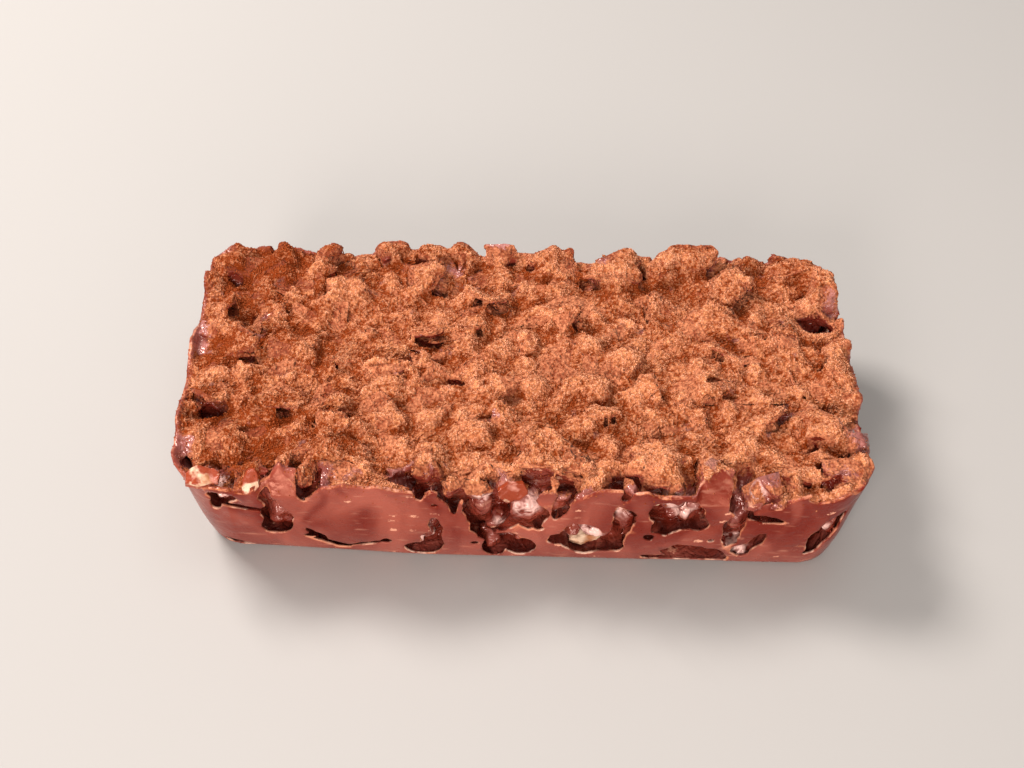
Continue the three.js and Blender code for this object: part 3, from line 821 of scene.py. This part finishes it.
def chocolate_material():
    """Dark chocolate: where it set against the tin a reddish skin with a painted satin sheen, pale specks and thin
    edges painted with orange and cream highlights; inside the openings a darker wet gloss with painted light and
    pale highlights; stray cocoa wherever it could fall."""
    paint = Paint("moulded_dark_chocolate")
    cloud, ripple, grit = paint.noise(16, 3.0), paint.noise(5, 3.0), paint.noise(0.9, 3.0)
    swirl = paint.noise(3.4, 2.0, 0.4)
    moulded, along = paint.attribute("moulded"), paint.along("X")

    # The skin carries a painted satin sheen in broad patches. It is paler towards the left, but not at its end, and
    # pinkish at the foot.
    painted_satin_sheen = paint.noise(14, 2.0, 0.6, stretch=(1.0, 1.0, 0.5))
    paler = paint.plus(
        painted_satin_sheen, paint.remap(along, -0.03, 0.05, 0.06, -0.105), paint.remap(along, -0.09, -0.07, -0.14, 0.0),
    )
    skin = paint.mix(paint.remap(paler, 0.38, 0.68), "#6C1A0E", "#A05040")
    skin = paint.mix(paint.remap(paint.along("Z"), 0.004, 0.02, 0.5, 0.0), skin, "#92544A")

    # Inside the openings it is clouded, painted lighter and lilac for light and sheen on upward faces where light
    # falls in, and streaked with painted pale highlights here and there.
    bloom = paint.remap(cloud, 0.4, 0.64)
    inner = paint.mix(bloom, "#6A2014", "#92402F")
    inner = paint.mix(paint.times(paint.attribute("lit"), paint.remap(bloom, 0.0, 1.0, 0.25, 1.0)), inner, "#AC7068")
    # Painted highlights: pale streaks where the coating shines.
    inner = paint.mix(paint.times(paint.attribute("pale"), paint.remap(swirl, 0.38, 0.52)), inner, "#EABCB0")
    colour = paint.mix(moulded, inner, skin)

    # Painted highlights on the openings' thin edges, orange, and cream where the edges face up.
    edge = paint.plus(paint.attribute("rim_distance"), paint.remap(ripple, 0.42, 0.62, 0.0, 0.5))
    cream_highlight = paint.times(paint.attribute("upward_rim_highlight"), paint.remap(cloud, 0.4, 0.6, 0.2, 1.0))
    rim_highlight_colour = paint.mix(cream_highlight, "#D07A54", "#FFDCC4")
    colour = paint.mix(paint.remap(edge, 0.1, 0.5, 0.85, 0.0), colour, rim_highlight_colour)

    # Pale specks and scuffs, longer along the wall than up it.
    specks = paint.cells(3.2, stretch=(0.5, 0.5, 1.0))
    chance = paint.node("SeparateColor", {"Color": specks["Color"]}).outputs
    ragged = paint.plus(
        specks["Distance"], paint.remap(grit, 0.3, 0.7, -0.16, 0.16), paint.remap(chance[1], 0.0, 1.0, 0.1, -0.1),
    )
    speck = paint.times(paint.remap(ragged, 0.16, 0.08), paint.remap(chance[0], 0.8, 0.86))
    colour = paint.mix(speck, colour, "#DC9A7E")
    scuff = paint.noise(2.2, 2.0, stretch=(0.25, 0.25, 1.0))
    colour = paint.mix(paint.remap(scuff, 0.62, 0.74, 0.0, 0.35), colour, "#C88A72")

    # Stray cocoa, which takes the gloss away.
    powder = paint.remap(paint.plus(paint.attribute("dusting"), grit), 0.82, 1.06)
    height = cocoa_grain(paint)
    colour = paint.mix(powder, colour, cocoa_colour(paint, height, 0.0, "#7E3210", "#D4845A"))
    sheen = paint.plus(paint.remap(ripple, 0.3, 0.7, 0.12, 0.26), paint.times(moulded, 0.12))
    rough = paint.node("Mix", {0: powder, 2: sheen, 3: 1.0}, data_type="FLOAT").outputs[0]
    waves = paint.bump(0.4, 0.0015, ripple)
    waves = paint.bump(paint.remap(moulded, 0.0, 1.0, 0.9, 0.04), 0.0022, swirl, Normal=waves)
    return paint.finish({
        "Base Color": colour, "Roughness": rough, "IOR": 1.62,
        "Normal": paint.bump(paint.times(powder, 0.9), 0.0005, height, Normal=waves),
        "Specular IOR Level": paint.remap(moulded, 0.0, 1.0, 0.55, 0.32),
        "Specular Tint": paint.mix(moulded, "#FFDCD4", "#FFBCA0"),
    })


def biscuit_material(name, coated, coat):
    """Baked biscuit, bare where it snapped: matte toasted crumb, paler at its heart. The rest of it, more or less as
    `coated` says, is smeared with a thin glossy layer of chocolate, painted with pale pink highlights."""
    paint = Paint(name)
    crumb, toast = paint.noise(1.1, 4.0), paint.noise(5, 2.0)
    colour = paint.mix(paint.remap(toast, 0.4, 0.62), "#EBCBAC", "#B4744C")
    colour = paint.mix(paint.remap(crumb, 0.5, 0.7, 0.0, 0.5), colour, "#93502C")
    smeared = paint.remap(paint.noise(6, 3.0), coated, coated + 0.07)
    # Painted highlight: pale pink patches in the chocolate layer where it shines.
    film_and_highlight = paint.mix(paint.remap(toast, 0.54, 0.7), coat, "#DE9C8A")
    return paint.finish({
        "Base Color": paint.mix(smeared, colour, film_and_highlight), "Roughness": paint.remap(smeared, 0.0, 1.0, 0.75, 0.28),
        "IOR": 1.5, "Normal": paint.bump(0.6, 0.0003, crumb), "Specular Tint": linear("#FFD2C8"),
    })


def floor_material():
    """A plain painted studio floor."""
    return Paint("painted_studio_floor").finish({"Base Color": linear("#AEABA7"), "Roughness": 0.8})


# ---------------- the block's finish
def top_heights(cake):
    """Height of the cake under each point of its plan, and 0 outside it."""
    solid = cake.field < 0
    level = solid.shape[2] - 1 - np.argmax(solid[:, :, ::-1], axis=2)
    level = np.minimum(level, solid.shape[2] - 2)
    below = np.take_along_axis(cake.field, level[:, :, None], 2)[:, :, 0]
    above = np.take_along_axis(cake.field, level[:, :, None] + 1, 2)[:, :, 0]
    height = cake.z[level] + VOXEL * below / np.minimum(below - above, -1e-6)
    return np.where(solid.any(2), height, 0.0)


def bareness(x, y, ragged):
    """How far a place is bare of cocoa, 0 to 1."""
    bare = 0
    for px, py, half_length, half_width in BARE_PATCHES:
        away = np.hypot((x - px) / half_length, (y - py) / half_width) + 0.35 * ragged
        bare = np.maximum(bare, 1 - smoothstep(0.6, 1.15, away))
    return bare


def buried(mesh, cake, heights):
    """A mesh's points, how much of the cake lies over each, and its distance out of the walls."""
    points = vertex_values(mesh, "co") / MM
    covered = sample(heights, cake.axes[:2], points[:, :2]) - points[:, 2]
    return points, covered, sample(cake.side, cake.axes, points)


def block_attributes(mesh, cake, heights):
    points, covered, side = buried(mesh, cake, heights)
    normals = vertex_values(mesh, "normal")
    exposed = 1 - smoothstep(0.8, 2.4, covered)
    inland = 1 - smoothstep(-2.6, -0.6, side)
    upward = smoothstep(-0.45, 0.45, normals[:, 2]) * (1 - 0.6 * smoothstep(2, 6, covered))
    high = smoothstep(31, 35, points[:, 2])
    ragged = sample(noise(cake.axes[:2], 3.4, 62), cake.axes[:2], points[:, :2])
    bare = bareness(points[:, 0], points[:, 1], ragged)
    set_attribute(mesh, "dusting", upward * high * (0.35 + 0.65 * inland) * (1 - 0.8 * bare))
    near_wall = 1 - smoothstep(3.5, 6.5, -side)
    facing_up = smoothstep(-0.2, 0.7, normals[:, 2])
    # Painted light: upward faces that lie bare, and those near the walls, are marked to be painted lighter and lilac.
    set_attribute(mesh, "lit", np.maximum(exposed, 0.3 * near_wall) * facing_up)
    # Painted highlight: upward-facing edges, more so under the heap, get a cream line.
    set_attribute(mesh, "upward_rim_highlight", np.maximum(1 - exposed, 0.3) * facing_up)
    # Painted highlights on the coating behind the front wall.
    pale = 0
    torn = sample(noise((cake.x, cake.z), 2.4, 65), (cake.x, cake.z), points[:, [0, 2]])
    for along, z, radius in PAINTED_PALE_HIGHLIGHTS:
        away = np.hypot(points[:, 0] - along, points[:, 2] - z) / radius + 0.4 * torn
        pale = np.maximum(pale, 1 - smoothstep(0.5, 1.0, away))
    behind = (points[:, 1] < 0) & (side > -8) & (side < -1.2)
    set_attribute(mesh, "pale", pale * behind * smoothstep(-0.5, 0.4, normals[:, 2] - normals[:, 1]))
    mouth = sample(cake.mouth, cake.axes, points)
    set_attribute(mesh, "rim_distance", np.where(side > -1.3, np.minimum(np.abs(mouth), 4), 4))
    set_attribute(mesh, "moulded", smoothstep(-1.5, -0.5, side))


def unseen(mesh, cake, heights):
    """Vertices under the cocoa, on the underside or deep in a hollow."""
    points, covered, side = buried(mesh, cake, heights)
    return (points[:, 2] < 0.3) | ((covered < 0.5) & (side < -4)) | ((covered > 3) & (side < -9))


# ---------------- the cocoa layer
def blurred(flat, axes, reach):
    """A grid blurred over about this many millimetres."""
    for i, axis in enumerate(axes):
        span = max(1, int(round(reach / (axis[1] - axis[0]))))
        kernel = np.exp(-0.5 * (np.arange(-3 * span, 3 * span + 1) / span) ** 2)
        kernel /= kernel.sum()
        flat = np.apply_along_axis(lambda line: np.convolve(np.pad(line, 3 * span, "edge"), kernel, "valid"), i, flat)
    return flat


def cocoa_layer_mesh(cake, heights):
    """The sieved layer over the heap, thin or missing on steep sides and in pits, and closed by a flat underside."""
    axes = (
        np.arange(cake.x[0], cake.x[-1], COCOA_STEP, dtype=np.float32),
        np.arange(cake.y[0], cake.y[-1], COCOA_STEP, dtype=np.float32),
    )
    X, Y = np.meshgrid(*axes, indexing="ij")
    plan = np.stack([X.ravel(), Y.ravel()], 1)
    height = sample(heights, cake.axes[:2], plan).reshape(X.shape)
    soft = blurred(height, axes, 1.1)
    slope = np.hypot(*np.gradient(blurred(height, axes, 0.55), COCOA_STEP))
    sunk = blurred(height, axes, 5.0) - height
    patches = layered(axes, (0.6, 11, 61), (0.5, 3.4, 62))
    crags = 0.55 - np.abs(noise(axes, 5.2, 66)) + 0.5 * (0.55 - np.abs(noise(axes, 2.9, 67)))
    grains = layered(axes, (0.32, 1.15, 63), (0.26, 2.1, 64))
    thickness = 0.4 + 0.1 * patches + grains + 0.5 * crags
    thickness -= 1.5 * smoothstep(2.0, 4.2, slope + 0.5 * patches)
    thickness -= 1.8 * smoothstep(3.2, 4.8, sunk)
    thickness -= 1.4 * smoothstep(1.05, 1.5, patches)
    thickness -= 2.0 * bareness(X, Y, noise(axes, 3.4, 62))
    surface = np.minimum(height + 0.75 * np.clip(soft - height, -0.6, 1.6) + thickness, HEAP_CEILING + 0.25)
    rim = HEAP_LEVEL * WALL_SLOPE - 0.9 - CORNER_RADIUS
    across_x, across_y = np.abs(X) - (BASE_HALF_LENGTH + rim), np.abs(Y) - (BASE_HALF_WIDTH + rim)
    within = rounded_distance(across_x, across_y, CORNER_RADIUS) < 0
    kept = within & (height > 32) & (surface > height - 0.45)
    # How far each point stands above its surroundings; the cocoa's colour uses it to paint light on crowns and shade
    # in valleys.
    crown = smoothstep(-1.6, 1.4, surface - blurred(surface, axes, 3.2))
    return slab_mesh("cocoa_layer", X, Y, surface, height - 1.3, kept, crown)


def cell_corners(flat):
    """The four corners of every cell of a height map, in order round the cell."""
    return flat[:-1, :-1], flat[1:, :-1], flat[1:, 1:], flat[:-1, 1:]


def slab_mesh(name, X, Y, upper, lower, kept, crown):
    """A closed slab between two height maps, over the cells whose corners are all kept."""
    whole = np.logical_and.reduce(cell_corners(kept))
    used = np.zeros(kept.shape, bool)
    for corner in cell_corners(used):
        corner |= whole
    inner = used.copy()
    for cell in cell_corners(whole):
        inner[1:-1, 1:-1] &= cell
    number = np.cumsum(used.ravel()).reshape(used.shape) - 1
    top = np.stack([corner[whole] for corner in cell_corners(number)], 1)
    edged = np.where(inner, upper, np.minimum(upper, lower + 0.8))
    points = np.stack([X[used], Y[used], edged[used]], 1)
    under = points.copy()
    under[:, 2] = lower[used]
    edges = quad_edges(top)
    there = edges[:, 0].astype(np.int64) * len(points) + edges[:, 1]
    back = edges[:, 1].astype(np.int64) * len(points) + edges[:, 0]
    rim = edges[~np.isin(there, back)]
    skirt = np.stack([rim[:, 1], rim[:, 0], rim[:, 0] + len(points), rim[:, 1] + len(points)], 1)
    faces = np.concatenate([top, top[:, ::-1] + len(points), skirt])
    mesh = make_mesh(name, np.concatenate([points, under]), faces)
    set_attribute(mesh, "cover", np.concatenate([inner[used], np.zeros(len(points))]))
    set_attribute(mesh, "crown", np.tile(crown[used], 2))
    return mesh


# ---------------- what is scattered
def scatter(name, carrier, cover, material, density, smallest, largest, seed):
    """A piece of small grains spread over a carrier mesh as thickly as its attribute `cover` says."""
    tree = bpy.data.node_groups.new(name, "GeometryNodeTree")
    for way in ("INPUT", "OUTPUT"):
        tree.interface.new_socket("Geometry", in_out=way, socket_type="NodeSocketGeometry")

    def random(data_type, inputs):
        return add_node(tree, "FunctionNodeRandomValue", {**inputs, "Seed": seed}, data_type=data_type).outputs

    covered = add_node(tree, "GeometryNodeInputNamedAttribute", {"Name": cover}, data_type="FLOAT")
    thickly = add_node(tree, "ShaderNodeMath", {0: density, 1: covered.outputs[0]}, operation="MULTIPLY")
    spread = add_node(tree, "GeometryNodeDistributePointsOnFaces", {
        "Mesh": add_node(tree, "NodeGroupInput").outputs[0], "Density": thickly.outputs[0], "Seed": seed,
    })
    grain = add_node(tree, "GeometryNodeMeshUVSphere", {"Segments": 4, "Rings": 2, "Radius": 0.5})
    size = random("FLOAT", {2: smallest, 3: largest})[1]
    turn = random("FLOAT_VECTOR", {0: (0.0, 0.0, 0.0), 1: (6.28, 6.28, 6.28)})[0]
    stretch = random("FLOAT_VECTOR", {0: (0.7, 0.7, 0.6), 1: (1.3, 1.2, 1.1)})[0]
    scale = add_node(tree, "ShaderNodeVectorMath", {0: stretch, "Scale": size}, operation="SCALE")
    placed = add_node(tree, "GeometryNodeInstanceOnPoints", {
        "Points": spread.outputs["Points"], "Instance": grain.outputs["Mesh"], "Rotation": turn,
        "Scale": scale.outputs[0],
    })
    real = add_node(tree, "GeometryNodeRealizeInstances", {"Geometry": placed.outputs[0]})
    add_node(tree, "NodeGroupOutput", {0: real.outputs[0]})

    piece = new_object(name, carrier.copy())
    piece.modifiers.new("scatter", "NODES").node_group = tree
    plain_mesh(piece)
    finish_piece(piece, material)


# ---------------- biscuit shards
def biscuit_piece(number, material):
    """A snapped biscuit shard: the solid's form with worn corners and an open crumb."""
    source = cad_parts[f"biscuit_shard_{number}"]
    piece = new_object(f"snapped_biscuit_{number}", source.data.copy())
    remesh = piece.modifiers.new("crumb", "REMESH")
    remesh.mode = "VOXEL"
    remesh.voxel_size = 0.3 * MM
    piece.modifiers.new("worn", "SMOOTH").iterations = 8
    plain_mesh(piece)
    points, normals = vertex_values(piece.data, "co") / MM, vertex_values(piece.data, "normal")
    low, high = points.min(0) - 2, points.max(0) + 2
    axes = [np.arange(a, b + 0.5, 0.5, dtype=np.float32) for a, b in zip(low, high)]
    crumb = sample(noise(axes, 0.9, 300 + number), axes, points)
    shape = sample(noise(axes, 3.2, 320 + number), axes, points)
    points += normals * (0.28 * crumb + 0.75 * shape - 0.3)[:, None]
    piece.data.vertices.foreach_set("co", (points * MM).astype(np.float32).ravel())
    piece.data.update()
    finish_piece(piece, material)
    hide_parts(source.name)


# ---------------- putting it together
def dress_cake():
    chocolate = chocolate_material()
    # Painted light and shade: the layer's powder is a darker, shaded copy of the cocoa, the loose grains a lighter,
    # lit copy.
    powder = cocoa_material("sieved_cocoa_powder_shaded", "#803410", "#E09264")
    cocoa = cocoa_material("loose_cocoa_grains_lit", "#A04E28", "#F8B28A")
    coated = biscuit_material("coated_biscuit", 0.36, "#8C3418")
    half_coated = biscuit_material("half_coated_biscuit", 0.385, "#963C20")
    bare = biscuit_material("bare_biscuit", 0.58, "#863822")
    cake = Cake()
    build_field(cake)
    heights = top_heights(cake)

    block = finish_piece(new_object("chocolate_and_biscuit_block", field_mesh("block", cake)), chocolate)
    thin_out(block, MOST_TRIANGLES, unseen(block.data, cake, heights))
    block.data.shade_smooth()
    block_attributes(block.data, cake, heights)
    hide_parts("chocolate_block")

    layer = finish_piece(new_object("cocoa_layer", cocoa_layer_mesh(cake, heights)), powder)
    cover = np.empty(len(layer.data.vertices), np.float32)
    layer.data.attributes["cover"].data.foreach_get("value", cover)
    thin_out(layer, MOST_TRIANGLES, cover < 0.5)

    for number, material in enumerate([half_coated, half_coated, coated, bare, bare, bare], 1):
        biscuit_piece(number, material)

    # Grains, as (piece, what carries them, the attribute they follow, grains to a square metre, widths in mm).
    for seed, (name, carrier, cover, density, smallest, largest) in enumerate([
        ("cocoa_fine_grains", layer, "cover", 0.95e6, 0.4, 0.65),
        ("cocoa_middling_grains", layer, "cover", 0.95e6, 0.6, 0.85),
        ("cocoa_coarse_grains", layer, "cover", 0.6e6, 0.75, 1.0),
        ("cocoa_on_ledges", block, "dusting", 0.7e6, 0.4, 0.8),
    ], 4):
        scatter(name, carrier.data, cover, cocoa, density, smallest * MM, largest * MM, seed)


def dress_stage():
    reach = 2500
    corners = [(-reach, -reach, 0), (reach, -reach, 0), (reach, reach, 0), (-reach, reach, 0)]
    floor = new_object("floor", make_mesh("floor", corners, [[0, 1, 2, 3]]))
    floor.data.materials.append(floor_material())
    world = bpy.data.worlds.new("studio")
    bpy.context.scene.world = world
    world.use_nodes = True
    background = world.node_tree.nodes["Background"].inputs
    background["Color"].default_value = linear("#F5F0EE")
    background["Strength"].default_value = 0.4
    for softbox in SOFTBOXES:
        add_softbox(*softbox)
    bpy.context.scene.view_settings.view_transform = "Standard"


place_camera()
dress_cake()
dress_stage()
